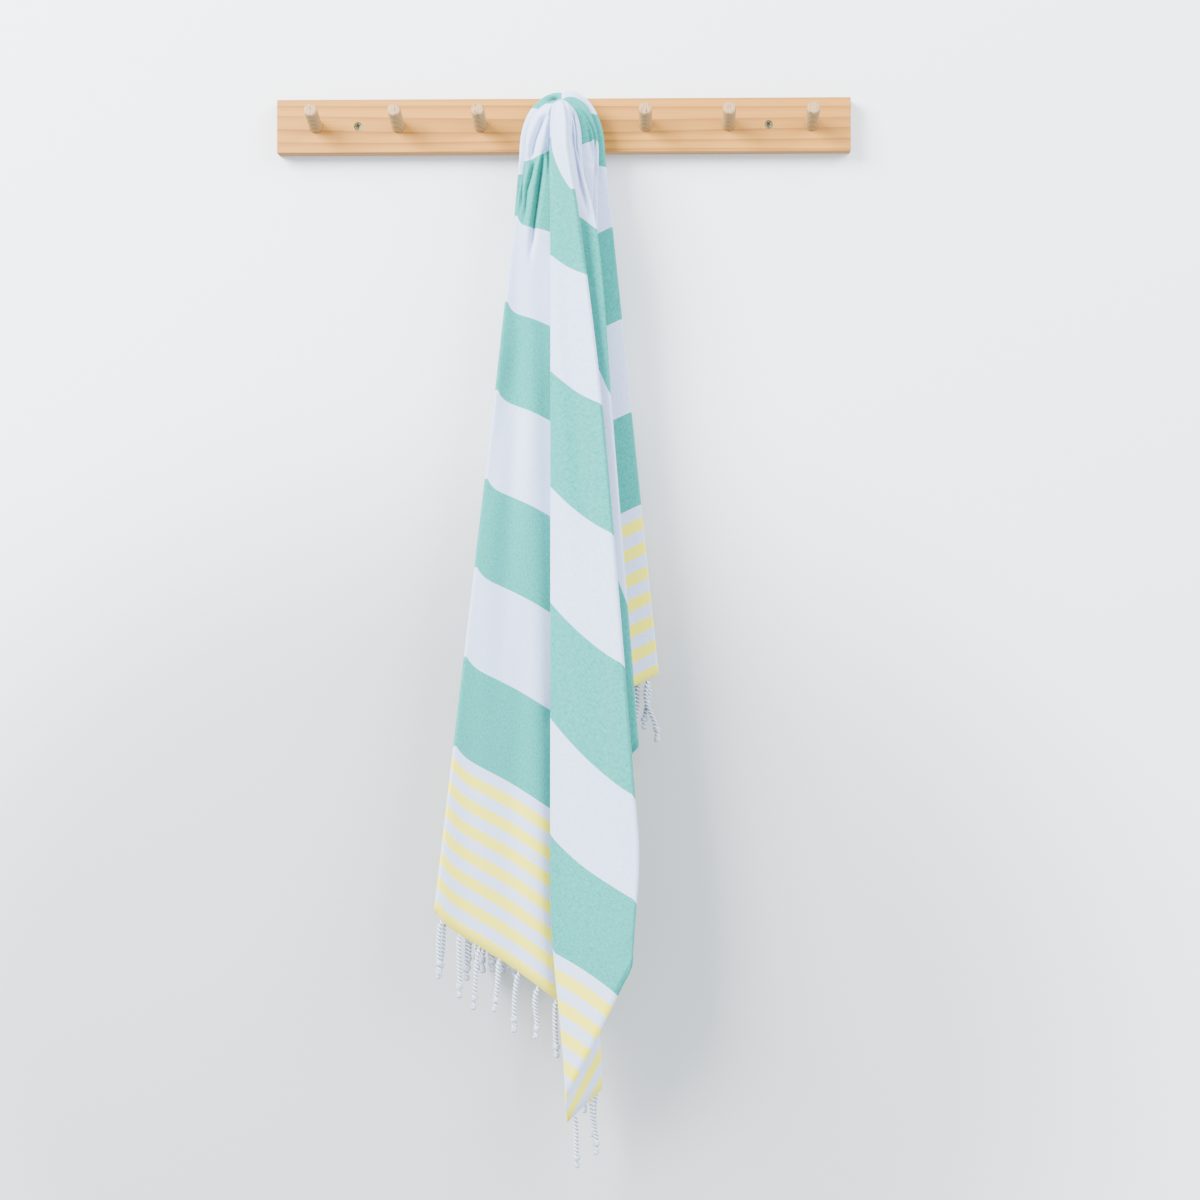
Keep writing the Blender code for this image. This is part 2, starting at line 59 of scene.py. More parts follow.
# Board. A planed strip of clear pine, oiled, with its grain running along it. It keeps the
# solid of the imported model, with the blind holes for the pegs and the screw holes.
def node(tree, kind, *feeds, **settings):
    """A shader node. feeds go to its inputs in order: a socket is linked, a value is set and
    None leaves the input as it is."""
    made = tree.nodes.new("ShaderNode" + kind)
    for name, value in settings.items():
        setattr(made, name, value)
    for socket, feed in zip(made.inputs, feeds):
        if isinstance(feed, bpy.types.NodeSocket):
            tree.links.new(feed, socket)
        elif feed is not None:
            socket.default_value = feed
    return made


def reckon(tree, operation, *feeds):
    """The result of a Math node."""
    return node(tree, "Math", *feeds, operation=operation).outputs[0]


def mixed(tree, share, first, second):
    """Two colours mixed by a share."""
    made = node(tree, "Mix", data_type="RGBA")
    for index, feed in ((0, share), (6, first), (7, second)):
        if isinstance(feed, bpy.types.NodeSocket):
            tree.links.new(feed, made.inputs[index])
        elif index == 0:
            made.inputs[0].default_value = feed
        else:
            made.inputs[index].default_value = (*feed, 1.0)
    return made.outputs[2]


def new_group(name, takes, gives):
    """An empty node group with its sockets, as (tree, input node, output node). takes and gives
    are tuples of socket name and kind."""
    tree = bpy.data.node_groups.new(name, "ShaderNodeTree")
    for socket_name, kind in takes:
        tree.interface.new_socket(name=socket_name, in_out="INPUT",
                                  socket_type="NodeSocket" + kind)
    for socket_name, kind in gives:
        tree.interface.new_socket(name=socket_name, in_out="OUTPUT",
                                  socket_type="NodeSocket" + kind)
    return tree, tree.nodes.new("NodeGroupInput"), tree.nodes.new("NodeGroupOutput")


def placed(tree, group, **values):
    """A node group placed in a tree with its own values."""
    made = tree.nodes.new("ShaderNodeGroup")
    made.node_tree = group
    for name, value in values.items():
        socket = made.inputs[name.replace("_", " ")]
        if isinstance(value, bpy.types.NodeSocket):
            tree.links.new(value, socket)
        else:
            socket.default_value = value
    return made


def new_finish(name, roughness, **constants):
    """A material with its Principled shader, as (material, tree, shader)."""
    made = bpy.data.materials.new(name)
    made.use_nodes = True
    shader = made.node_tree.nodes["Principled BSDF"]
    shader.inputs["Roughness"].default_value = roughness
    for key, value in constants.items():
        shader.inputs[key.replace("_", " ")].default_value = value
    return made, made.node_tree, shader


def long_grain_group():
    """Wood grain along X. The distance across the board is bent by slow noise that hardly
    changes along it, and repeats as rings: each ring darkens slowly and ends sharply. Fine
    noise drawn out along X makes the fibres, and very slow noise the broad tones."""
    tree, take, give = new_group(
        "long_grain",
        (("Place", "Vector"), ("Ring Spacing", "Float"), ("Wander", "Float")),
        (("Rings", "Float"), ("Fibre", "Float"), ("Tone", "Float")))
    slow = node(tree, "Mapping", take.outputs["Place"], None, None, (1.1, 9.0, 14.0))
    bend = node(tree, "TexNoise", slow.outputs[0], None, 1.0, 2.0, 0.45)
    across = node(tree, "SeparateXYZ", take.outputs["Place"]).outputs
    moved = reckon(tree, "MULTIPLY_ADD", bend.outputs[0], take.outputs["Wander"], across[2])
    depth = reckon(tree, "MULTIPLY_ADD", across[1], 0.35, moved)
    count = reckon(tree, "DIVIDE", depth, take.outputs["Ring Spacing"])
    ring = reckon(tree, "POWER", reckon(tree, "FRACT", count), 3.0)
    fade = node(tree, "MapRange", reckon(tree, "FRACT", count), 0.93, 1.0, 1.0, 0.0)
    tree.links.new(reckon(tree, "MULTIPLY", ring, fade.outputs[0]), give.inputs["Rings"])
    fine = node(tree, "Mapping", take.outputs["Place"], None, None, (14.0, 900.0, 900.0))
    fibre = node(tree, "TexNoise", fine.outputs[0], None, 1.0, 3.0, 0.6)
    tree.links.new(fibre.outputs[0], give.inputs["Fibre"])
    broad = node(tree, "Mapping", take.outputs["Place"], None, None, (2.4, 30.0, 55.0))
    tone = node(tree, "TexNoise", broad.outputs[0], None, 1.0, 1.0, 0.5)
    tree.links.new(tone.outputs[0], give.inputs["Tone"])
    return tree


long_grain = long_grain_group()
pine, tree, shader = new_finish("pine_board", 0.5, Specular_IOR_Level=0.35)
place = node(tree, "TexCoord").outputs["Object"]
grain = placed(tree, long_grain, Place=place, Ring_Spacing=0.0105, Wander=0.036)
early = mixed(tree, grain.outputs["Tone"], (0.57, 0.252, 0.030), (0.37, 0.153, 0.022))
late = mixed(tree, grain.outputs["Rings"], early, (0.27, 0.095, 0.010))
streak = node(tree, "MapRange", grain.outputs["Fibre"], 0.3, 0.7, 0.90, 1.06)
lit = node(tree, "VectorMath", late, operation="SCALE")
tree.links.new(streak.outputs[0], lit.inputs["Scale"])
tree.links.new(lit.outputs[0], shader.inputs["Base Color"])
relief = node(tree, "Bump", 0.25, 0.0006)
tree.links.new(grain.outputs["Fibre"], relief.inputs["Height"])
tree.links.new(relief.outputs[0], shader.inputs["Normal"])
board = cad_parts["rail"]
board.data.materials.clear()
board.data.materials.append(pine)


# Pegs. Seven sanded dowels, unfinished and a little grey, pushed into slanted blind holes. Their
# outer ends are rounded over by hand.
PEG_XS = tuple(0.0875 * step for step in range(-3, 4))
PEG_RADIUS = 0.007
PEG_FROM = -0.011
PEG_TO = 0.045
PEG_TILT = math.radians(12.5)
BOARD_FACE = -0.018


def lay_grid(name, grid, around=False):
    """A mesh over a grid of points, rows by columns. around joins the last column to the first."""
    rows, count = grid.shape[:2]
    index = np.arange(rows * count).reshape(rows, count)
    if around:
        index = np.concatenate((index, index[:, :1]), axis=1)
    quads = np.stack((index[:-1, :-1], index[:-1, 1:], index[1:, 1:], index[1:, :-1]), axis=-1)
    mesh = bpy.data.meshes.new(name)
    mesh.from_pydata(grid.reshape(-1, 3), [], quads.reshape(-1, 4))
    return mesh


def tidy(mesh, gap=0.00002):
    """Merges doubles, turns the faces outwards and shades the mesh smooth."""
    shape = bmesh.new()
    shape.from_mesh(mesh)
    bmesh.ops.remove_doubles(shape, verts=shape.verts, dist=gap)
    bmesh.ops.dissolve_degenerate(shape, edges=shape.edges, dist=gap / 4)
    bmesh.ops.recalc_face_normals(shape, faces=shape.faces)
    shape.to_mesh(mesh)
    shape.free()
    mesh.shade_smooth()


def show(mesh, name, finish):
    """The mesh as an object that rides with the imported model."""
    made = bpy.data.objects.new(name, mesh)
    bpy.context.scene.collection.objects.link(made)
    mesh.materials.append(finish)
    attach(made, "root")
    return made


def peg_grid(x, seed):
    """A dowel: radius over length, flat at both ends with a quarter round of 2 mm at the outer
    one, and a hundredth of a millimetre of unevenness round it."""
    round_off = 0.0021
    bend = np.linspace(0.0, np.pi / 2, 9)
    along = np.concatenate(([PEG_FROM, PEG_FROM], np.linspace(PEG_FROM, PEG_TO - round_off, 22),
                            PEG_TO - round_off + round_off * np.sin(bend[1:]),
                            [PEG_TO, PEG_TO, PEG_TO]))
    core = PEG_RADIUS - round_off
    radius = np.concatenate(([0.0001, PEG_RADIUS], np.full(22, PEG_RADIUS),
                             core + round_off * np.cos(bend[1:]),
                             [core * 0.6, core * 0.3, 0.0001]))
    turn = np.linspace(0.0, 2 * np.pi, 56, endpoint=False)
    uneven = 1 + 0.006 * np.sin(2 * turn[None, :] + seed) * np.cos(40 * along[:, None] + seed)
    wide = radius[:, None] * uneven
    side = wide * np.cos(turn)
    up = wide * np.sin(turn)
    far = along[:, None] + 0.0 * turn
    cos, sin = math.cos(PEG_TILT), math.sin(PEG_TILT)
    return np.stack((x + side, BOARD_FACE - far * cos + up * sin, far * sin + up * cos), axis=-1)


dowel, tree, shader = new_finish("peg_wood", 0.62, Specular_IOR_Level=0.3)
place = node(tree, "TexCoord").outputs["Object"]
turned = node(tree, "Mapping", place, None, (0.0, PEG_TILT, math.pi / 2))
grain = placed(tree, long_grain, Place=turned.outputs[0], Ring_Spacing=0.0026, Wander=0.02)
pale = mixed(tree, grain.outputs["Tone"], (0.45, 0.285, 0.115), (0.33, 0.205, 0.085))
ringed = mixed(tree, grain.outputs["Rings"], pale, (0.25, 0.13, 0.045))
face = node(tree, "SeparateXYZ", place).outputs[1]
end = node(tree, "MapRange", face, -0.0575, -0.0610, 0.0, 1.0)
marks = node(tree, "TexNoise", node(tree, "Mapping", place, None, (0.0, 0.0, 0.5),
                                    (500.0, 90.0, 130.0)).outputs[0], None, 1.0, 3.0, 0.7)
cut = node(tree, "MapRange", marks.outputs[0], 0.52, 0.66, 0.0, 1.0)
sawn = mixed(tree, cut.outputs[0], (0.40, 0.24, 0.11), (0.16, 0.085, 0.04))
tree.links.new(mixed(tree, end.outputs[0], ringed, sawn), shader.inputs["Base Color"])
relief = node(tree, "Bump", 0.3, 0.0004)
tree.links.new(grain.outputs["Fibre"], relief.inputs["Height"])
tree.links.new(relief.outputs[0], shader.inputs["Normal"])

for number, x in enumerate(PEG_XS, start=1):
    mesh = lay_grid(f"dowel_{number}", peg_grid(x, 1.7 * number), around=True)
    tidy(mesh, 0.0003)
    peg = show(mesh, f"dowel_{number}", dowel)
    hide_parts(f"peg_{number}")


# Screws. Two countersunk wood screws with a dull yellow zinc coat, driven flush with the board.
# The heads have a cross recess.
SCREW_XS = (-0.2175, 0.2175)
HEAD_RADIUS = 0.0043
SHANK_RADIUS = 0.0021


def screw_grid(x, spin):
    """Profile of the screw turned about its axis. On the head's face two crossed grooves, each
    a smooth trough across the face, are sunk by up to 1.7 mm."""
    bend = np.linspace(0.0, 1.0, 26)
    radius = np.concatenate((HEAD_RADIUS * bend, [HEAD_RADIUS, 0.0030, SHANK_RADIUS,
                                                 SHANK_RADIUS, 0.00001]))
    depth = np.concatenate((0.0002 - 0.0003 * bend ** 4, [0.0006, 0.0024, 0.0034, 0.0178,
                                                        0.0178]))
    turn = np.linspace(0.0, 2 * np.pi, 72, endpoint=False)
    one = radius[:, None] * np.cos(turn + spin)
    two = radius[:, None] * np.sin(turn + spin)
    arm = np.maximum(np.exp(-(one / 0.00062) ** 4) * (np.abs(two) < 0.0026),
                     np.exp(-(two / 0.00062) ** 4) * (np.abs(one) < 0.0026))
    taper = np.clip(1.15 - radius / 0.0028, 0.0, 1.0)[:, None]
    sunk = 0.0017 * arm * taper * (np.arange(len(radius)) < 26)[:, None]
    side = radius[:, None] * np.cos(turn)
    up = radius[:, None] * np.sin(turn)
    return np.stack((x + side, BOARD_FACE + depth[:, None] + sunk, up), axis=-1)


zinc, tree, shader = new_finish("screw_zinc", 0.38, Metallic=1.0)
place = node(tree, "TexCoord").outputs["Object"]
worn = node(tree, "TexNoise", place, None, 900.0, 3.0, 0.6)
tree.links.new(mixed(tree, worn.outputs[0], (0.085, 0.075, 0.040), (0.20, 0.175, 0.10)),
               shader.inputs["Base Color"])
rough = node(tree, "MapRange", worn.outputs[0], 0.3, 0.7, 0.28, 0.5)
tree.links.new(rough.outputs[0], shader.inputs["Roughness"])
for number, x in enumerate(SCREW_XS, start=1):
    mesh = lay_grid(f"wood_screw_{number}", screw_grid(x, 0.3 + number), around=True)
    tidy(mesh, 0.00003)
    screw = show(mesh, f"wood_screw_{number}", zinc)
    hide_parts(f"screw_{number}")


# Towel. One width of flat woven cotton, 0.884 m by 1.677 m, gathered over the middle peg. Every
# fold is a line of the cloth that starts at the peg and hangs down; the cloth between two
# folds hangs almost flat, and at each fold it turns back on itself in a soft bend.
TO_FRONT_HEM = 0.940
TO_BACK_HEM = 0.737
TO_LEFT_SELVEDGE = 0.260
TO_RIGHT_SELVEDGE = 0.624
APEX_Z = 0.034
NECK_Z = -0.034
HIGH_Z = -0.12
MIDDLE_Z = -0.315
LOW_Z = -0.760
FOLD_SPREAD = 0.5
SHEET = 0.0008
# Millimetres and degrees. side: where a fold of the gathered strip crosses the peg. angle: the
# cloth's angle from straight down the front, for folds that start at the peg's tip. x: where
# the fold hangs at the neck and at three heights below it. out: how far from the wall. neck: cloth
# from the peg to the neck. slack and fall: cloth taken up over the peg, and drop for each metre.
# bend: half the width of its soft bend. step: its place in the cross-section. dip: cloth drawn
# back over the peg at the neck, and over what drop.
FOLD_COLUMNS = ("name", "side", "angle", "x_neck", "x_high", "x_middle", "x_low", "out_neck",
                "out_middle", "out_low", "neck", "slack", "fall", "bend", "step", "dip",
                "dip_drop")
FOLDS = (
    ("left_edge_front", -260, None, -14, -14, -14, -14, 23.5, 7.5, 7,
     73, 58, 0.98, 1.2, 0, 68, 165),
    ("shoulder_1", -220, None, -42, -46, -52, -88, 28, 13, 12.5,
     73, 58, 0.98, 1.8, 2, 68, 165),
    ("tuck_1", -180, None, -15, -16, -18, -16, 33, 19, 18.5,
     73, 58, 0.98, 1.6, 5, 68, 165),
    ("shoulder_2", -140, None, -43, -48, -56, -92, 38, 25.5, 25,
     73, 58, 0.98, 2.0, 8, 68, 165),
    ("tuck_2", -110, None, -15, -16, -18, -16, 43.5, 32, 31.5,
     73, 58, 0.98, 1.6, 11, 68, 165),
    ("shoulder_3", -85, None, -42, -49, -57, -98, 49, 40, 42,
     73, 58, 0.98, 2.2, 14, 66, 160),
    ("tuck_3", -70, None, -16, -17, -20, -18, 54.5, 46, 48,
     73, 58, 0.98, 1.3, 17, 60, 150),
    ("left_panel_edge", None, -3.6, -35, -47, -69, -119, 61, 64, 90,
     67.7, 22, 0.945, 2.4, 20, 38, 105),
    ("hidden_fold", None, 28.0, -2, 4, 11, 30, 73, 50, 52,
     62.0, 0, 0.98, 1.6, 31, 0, 100),
    ("right_panel_inner", None, 34.9, -9.5, -9, -9, -9, 82, 70, 76,
     69.7, 0, 0.975, 2.0, 35, 3, 60),
    ("right_panel_edge", None, 42.6, 5, 19, 42.3, 80, 92, 94, 114,
     69.0, 0, 0.985, 2.6, 49, 78, 140),
    ("behind_1", None, 53.0, 3, 6, 9, 14, 86, 74, 78,
     79.4, 10, 0.98, 1.5, 52, 85, 180),
    ("pleat_a", None, 63.0, 14, 36, 52, 88, 82, 82, 94,
     69.4, 0, 0.98, 2.0, 56, 65, 200),
    ("behind_2", None, 74.0, 9, 13, 15, 22, 76, 67, 72,
     99.4, 30, 0.98, 1.5, 59, 0, 100),
    ("pleat_b", None, 86.0, 18, 28, 44, 68, 71, 65, 69,
     104.4, 35, 0.98, 1.8, 62, 0, 100),
    ("behind_3", None, 98.0, 12, 15, 17, 26, 66, 60, 63,
     109.4, 40, 0.98, 1.5, 65, 0, 100),
    ("pleat_c", None, 110.0, 20, 28, 43, 62, 61.5, 56, 58,
     119.4, 50, 0.98, 1.3, 68, 0, 100),
    ("behind_4", None, 120.0, 13, 15, 18, 42, 57, 52, 54,
     124.4, 55, 0.98, 1.2, 71, 90, 200),
    ("pleat_d", None, 130.0, 33, 31, 43, 62, 53, 48, 50,
     129.4, 60, 0.98, 1.3, 75, 77, 200),
    ("back_corner", None, 139.7, 15, 10, 4, -10, 49, 43.5, 43,
     129.4, 60, 0.98, 1.3, 78, 0, 100),
    ("pleat_e", None, 150.0, 37, 36, 47, 74, 45.5, 39.5, 39,
     144.4, 75, 0.98, 1.6, 81, 35, 150),
    ("behind_5", None, 163.0, 15, 5, -6, 2, 41.5, 34.5, 34.5,
     159.4, 90, 0.98, 1.5, 84, 0, 100),
    ("back_tail_edge", None, 178.0, 43, 52, 72, 118, 37.5, 29.5, 30,
     174.0, 110, 0.98, 2.0, 88, -52, 90),
    ("back_tuck_1", -65, None, 16, 6, -8, 0, 33.7, 24, 23,
     164.4, 95, 0.98, 1.5, 90, 0, 100),
    ("back_shoulder", -130, None, 38, 46, 60, 92, 30, 18.5, 17,
     164.4, 95, 0.98, 1.8, 93, 0, 100),
    ("back_tuck_2", -195, None, 16, 6, -8, 0, 26.2, 12.8, 11.5,
     164.4, 95, 0.98, 1.5, 95, 0, 100),
    ("left_edge_back", -260, None, 34, 42, 50, 60, 22.3, 7, 6,
     164.4, 95, 0.98, 1.2, 98, 0, 100),
)
PIVOT = 49
STEPS = 98
PER_STEP = 4
CROWN_ROWS = 22
HANG_ROWS = 96


def fold_table():
    """The folds as arrays by column name, in metres and radians."""
    table = {}
    for key, values in zip(FOLD_COLUMNS, zip(*FOLDS)):
        if key == "name":
            table[key] = list(values)
            continue
        numbers = np.array([np.nan if v is None else v for v in values], float)
        if key == "angle":
            numbers = np.radians(numbers)
        elif key not in ("fall", "step"):
            numbers = numbers / 1000
        table[key] = numbers
    return table


LEVELS = (NECK_Z, HIGH_Z, MIDDLE_Z, LOW_Z)


def curved(z, values):
    """A smooth curve over height through the values at the four levels: between two levels a
    cubic whose slopes follow the neighbouring values, and a straight line below the lowest."""
    slopes = []
    for at in range(4):
        above, below = max(at - 1, 0), min(at + 1, 3)
        slopes.append((values[below] - values[above]) / (LEVELS[below] - LEVELS[above]))
    result = values[3] + slopes[3] * (z - LEVELS[3])
    for at in (2, 1, 0):
        span = LEVELS[at + 1] - LEVELS[at]
        s = (z - LEVELS[at]) / span
        piece = (values[at] * (1 + 2 * s) * (1 - s) ** 2 + values[at + 1] * (3 - 2 * s) * s * s
                 + slopes[at] * span * s * (1 - s) ** 2
                 + slopes[at + 1] * span * (s - 1) * s * s)
        result = np.where(z > LEVELS[at + 1], piece, result)
    return result


def settled(z, low, middle, high):
    """A straight line through the low and middle values, leaving it above them as a cubic that
    reaches the neck value."""
    slope = (middle - low) / (MIDDLE_Z - LOW_Z)
    up = np.clip((z - MIDDLE_Z) / (NECK_Z - MIDDLE_Z), 0.0, 1.0)
    missing = high - (middle + slope * (NECK_Z - MIDDLE_Z))
    return middle + slope * (z - MIDDLE_Z) + missing * up * up * (2.0 - up)


def unit(v):
    return v / np.maximum(np.linalg.norm(v, axis=-1, keepdims=True), 1e-12)


def soft(x):
    """Smooth step from 0 at 0 to 1 at 1."""
    x = np.clip(x, 0.0, 1.0)
    return x * x * (3.0 - 2.0 * x)


table = fold_table()
TUCK_3, LEFT_PANEL_EDGE, INNER, OUTER = (table["name"].index(name) for name in (
    "tuck_3", "left_panel_edge", "right_panel_inner", "right_panel_edge"))
last = len(FOLDS) - 1
# For each point of the cross-section: the fold before it, its share of the flat cloth from there
# to the next fold, and, within a step of a fold, its place in that fold's turn.
step = np.arange(STEPS * PER_STEP + 1) / PER_STEP
fold_before = np.clip(np.searchsorted(table["step"], step, side="right") - 1, 0, last - 1)
edge = np.where((np.arange(last + 1) == 0) | (np.arange(last + 1) == last), 0.0, 1.0)
to_before = step - table["step"][fold_before]
to_after = step - table["step"][fold_before + 1]
room = (table["step"][fold_before + 1] - edge[fold_before + 1]
        - table["step"][fold_before] - edge[fold_before])
share = np.clip((to_before - edge[fold_before]) / np.maximum(room, 1e-6), 0.0, 1.0)
in_turn = (to_before <= edge[fold_before]) | (to_after >= -edge[fold_before + 1])
turn_fold = np.where(to_before <= edge[fold_before], fold_before, fold_before + 1)
turn_at = np.where(to_before <= edge[fold_before], to_before, to_after) * edge[turn_fold]


def plan(z):
    """Where the cross-section runs in plan at the heights z, one column each. At a fold the
    point swings round a half circle of the fold's bend; between folds it is on the straight line
    from one bend to the next. Low down, the right panel curls in towards its hanging corner."""
    level = z[..., None]
    x = curved(level, [table[key] for key in ("x_neck", "x_high", "x_middle", "x_low")])
    out = np.maximum(settled(level, table["out_low"], table["out_middle"], table["out_neck"]),
                     0.005)
    x[..., INNER] += 0.016 * soft((-0.80 - level[..., 0]) / 0.24)
    x[..., OUTER] -= 0.018 * soft((-0.74 - level[..., 0]) / 0.16)
    folds = np.stack((x, -out), axis=-1)
    before = np.concatenate((folds[..., :1, :], folds[..., :-1, :]), axis=-2)
    after = np.concatenate((folds[..., 1:, :], folds[..., -1:, :]), axis=-2)
    arrive = unit(folds - before)
    leave = unit(after - folds)
    inward = unit(leave - arrive) * edge[:, None]
    aside = np.stack((-inward[..., 1], inward[..., 0]), axis=-1)
    flip = np.sum(aside * leave, axis=-1, keepdims=True) < 0
    aside = np.where(flip, -aside, aside)

    def pick(values, fold):
        return np.take_along_axis(values, fold[None, :, None, None], axis=2)[..., 0, :]

    bend = table["bend"]
    at = pick(folds, turn_fold)
    angle = (turn_at * np.pi / 2)[None, :, None]
    reach = bend[turn_fold][None, :, None]
    swung = (at + pick(aside, turn_fold) * reach * np.sin(angle)
             - pick(inward, turn_fold) * 0.8 * reach * np.cos(angle))
    start = pick(folds, fold_before) + pick(aside, fold_before) * (
        bend * edge)[fold_before][None, :, None]
    end = pick(folds, fold_before + 1) - pick(aside, fold_before + 1) * (
        bend * edge)[fold_before + 1][None, :, None]
    between = start + (end - start) * share[None, :, None]
    return np.where(in_turn[None, :, None], swung, between)


def along_fold(fold, tilt):
    """Where a line of cloth beside a fold ends: height of the foot, and the cloth's own place
    (across, down) there and at the neck."""
    strip = np.isnan(table["angle"][fold])
    start = np.where(strip, np.nan_to_num(table["side"][fold]), 0.0)
    angle = np.where(strip, np.where(fold > OUTER, np.pi, 0.0),
                     np.nan_to_num(table["angle"][fold]) + np.radians(FOLD_SPREAD) * tilt)
    down, over = np.cos(angle), np.sin(angle)
    to_hem = np.where(down > 0, TO_FRONT_HEM, -TO_BACK_HEM) / down
    to_side = np.where(over > 0.001, TO_RIGHT_SELVEDGE / np.maximum(over, 0.001), np.inf)
    length = np.minimum(to_hem, to_side)
    foot = APEX_Z - (length - table["slack"][fold]) * table["fall"][fold]
    neck = table["neck"][fold]
    return np.stack((foot, start + length * over, length * down,
                     start + neck * over, neck * down), axis=-1)


inside = along_fold(turn_fold, turn_at)
leaving = along_fold(fold_before, edge[fold_before])
reaching = along_fold(fold_before + 1, -edge[fold_before + 1])
lines = np.where(in_turn[:, None], inside,
                 leaving + (reaching - leaving) * share[:, None])
foot_z, foot_u, foot_v, neck_u, neck_v = lines.T
# On the left panel the stripes run a little lower than straight between its two folds, and
# behind the right panel they drop to the hidden fold. On the right panel they run higher.
in_left = (fold_before == LEFT_PANEL_EDGE) & ~in_turn
in_right = (fold_before == INNER) & ~in_turn
drawn = np.clip((share - 0.76) / 0.24, 0.0, 1.0) ** 2
bow = np.where(in_left, 0.050 * share * (1 - share) + 0.0484 * (share - drawn), 0.0)
foot_z = foot_z + bow * (APEX_Z - foot_z)
right_bow = np.where(in_right, -0.045 * share * (1 - share), 0.0)
fold_mix = np.where(in_turn, 0.0, share)
first = np.where(in_turn, turn_fold, fold_before)
second = np.where(in_turn, turn_fold, fold_before + 1)
dip = table["dip"][first] * (1 - fold_mix) + table["dip"][second] * fold_mix
dip_drop = table["dip_drop"][first] * (1 - fold_mix) + table["dip_drop"][second] * fold_mix

# Crown: each line of cloth leaves the ridge of the peg, rises and falls over it as a cubic, and
# is drawn from an oval ring into the pleats of the neck. Near the board the cloth is bunched and
# arches over the peg without touching it. From the tip's share of the ridge on, the lines turn
# round the peg's end.
RIDGE_START = 0.0245
RIDGE_LENGTH = 0.033
TIP_SHARE = 0.70
ARCH_LIFT = 0.0145
CLEAR_OF_PEG = 0.0003
left = step <= PIVOT
ridge_place = np.interp(np.minimum(step, STEPS - step), (0, 20, 31, 35, PIVOT),
                        (0.0, 0.63, 0.776, 0.878, 1.0))
sign = np.where(left, -1.0, 1.0)
ridge_out = RIDGE_START + RIDGE_LENGTH * np.minimum(ridge_place / TIP_SHARE, 1.0)
ridge = np.stack((np.zeros(len(step)), -ridge_out), axis=-1)
arched = 1.0 - soft((ridge_place - 0.44) / 0.20)
ridge_z = ((ridge_out + BOARD_FACE) * math.tan(PEG_TILT) + PEG_RADIUS / math.cos(PEG_TILT)
           + CLEAR_OF_PEG + 0.0006 + ARCH_LIFT * arched)
tip_turn = np.pi / 2 * np.clip((ridge_place - TIP_SHARE) / (1 - TIP_SHARE), 0.0, 1.0)
half_width = (np.where(left, 0.029, 0.0245) * arched
              + np.where(left, 0.028, 0.021) * (1 - arched))
ring = ridge + np.stack((sign * half_width * np.cos(tip_turn), -0.028 * np.sin(tip_turn)),
                        axis=-1)
neck_plan = plan(np.full((1, len(step)), NECK_Z))[0]
# How far the cubic's middle rises above the ridge: to the side, in front of the tip, and a little
# more for the lines that end furthest out.
fronting = np.sin(tip_turn) ** 2
outer = np.clip(np.abs(neck_plan[:, 0]) - 0.030, -0.012, 0.012) / 0.012
side_bulge = (np.where(left, -0.002, 0.0065) * arched
              + np.where(left, 0.002, 0.0) * (1 - arched))
bulge = side_bulge * (1 - fronting) + 0.002 * fronting + 0.003 * outer * (1 - fronting)
t = (np.arange(CROWN_ROWS) / CROWN_ROWS)[:, None]
fraction = 3 * t * (1 - t) ** 2 * 0.32 + 3 * t * t * (1 - t) + t ** 3
pleated = soft(t)[..., None]
shape_plan = (ring * (1 - pleated) + neck_plan * pleated) * fraction[..., None]
shape_plan = shape_plan + ridge * (1 - fraction[..., None])
crown_z = ridge_z * (1 - t) ** 3 + 3 * t * (1 - t) * (ridge_z + bulge) + NECK_Z * t ** 3
crown = np.concatenate((shape_plan, crown_z[..., None]), axis=-1)

# Hanging part, row by row to each line's foot. The left panel's outer edge hangs a little higher
# than the panel, where it turns back.
drop = (np.arange(HANG_ROWS + 1) / HANG_ROWS)[:, None] ** 1.3
hang_z = NECK_Z + (foot_z - NECK_Z) * drop
rounded = np.where(in_left, np.exp(-share / 0.06), 0.0)
rounded = np.where(in_turn & (turn_fold == LEFT_PANEL_EDGE), 1.0, rounded)
rounded = np.where((fold_before == TUCK_3) & ~in_turn, soft((share - 0.7) / 0.3), rounded)
raised_z = hang_z + 0.011 * rounded * soft(drop / 0.12)
hanging = np.concatenate((plan(hang_z), raised_z[..., None]), axis=-1)
towel_grid = np.concatenate((crown, hanging))

# Where each point lies on the flat towel: across and down from the point on the peg. Over the
# peg the bunched cloth is drawn back on the left and forward on the right, so that a mint stripe
# shows over the left shoulder and round the right one, with a white one behind it. late is how
# slowly a line then takes on its place at the neck.
ridge_v = np.where(left, -0.105 * (1 - soft((ridge_place - 0.66) / 0.12)),
                   np.interp(ridge_place, (0.50, 0.57, 0.80, 0.86), (0.03, -0.062, -0.052, 0.0)))
late = 1 + np.where(left, 0.7 * arched, 1.2 * (1 - soft((ridge_place - 0.50) / 0.07)))
ridge_u = np.interp(ridge_place, (0.0, 0.53, 0.63, 1.0), (-TO_LEFT_SELVEDGE, -0.07, 0.0, 0.0))
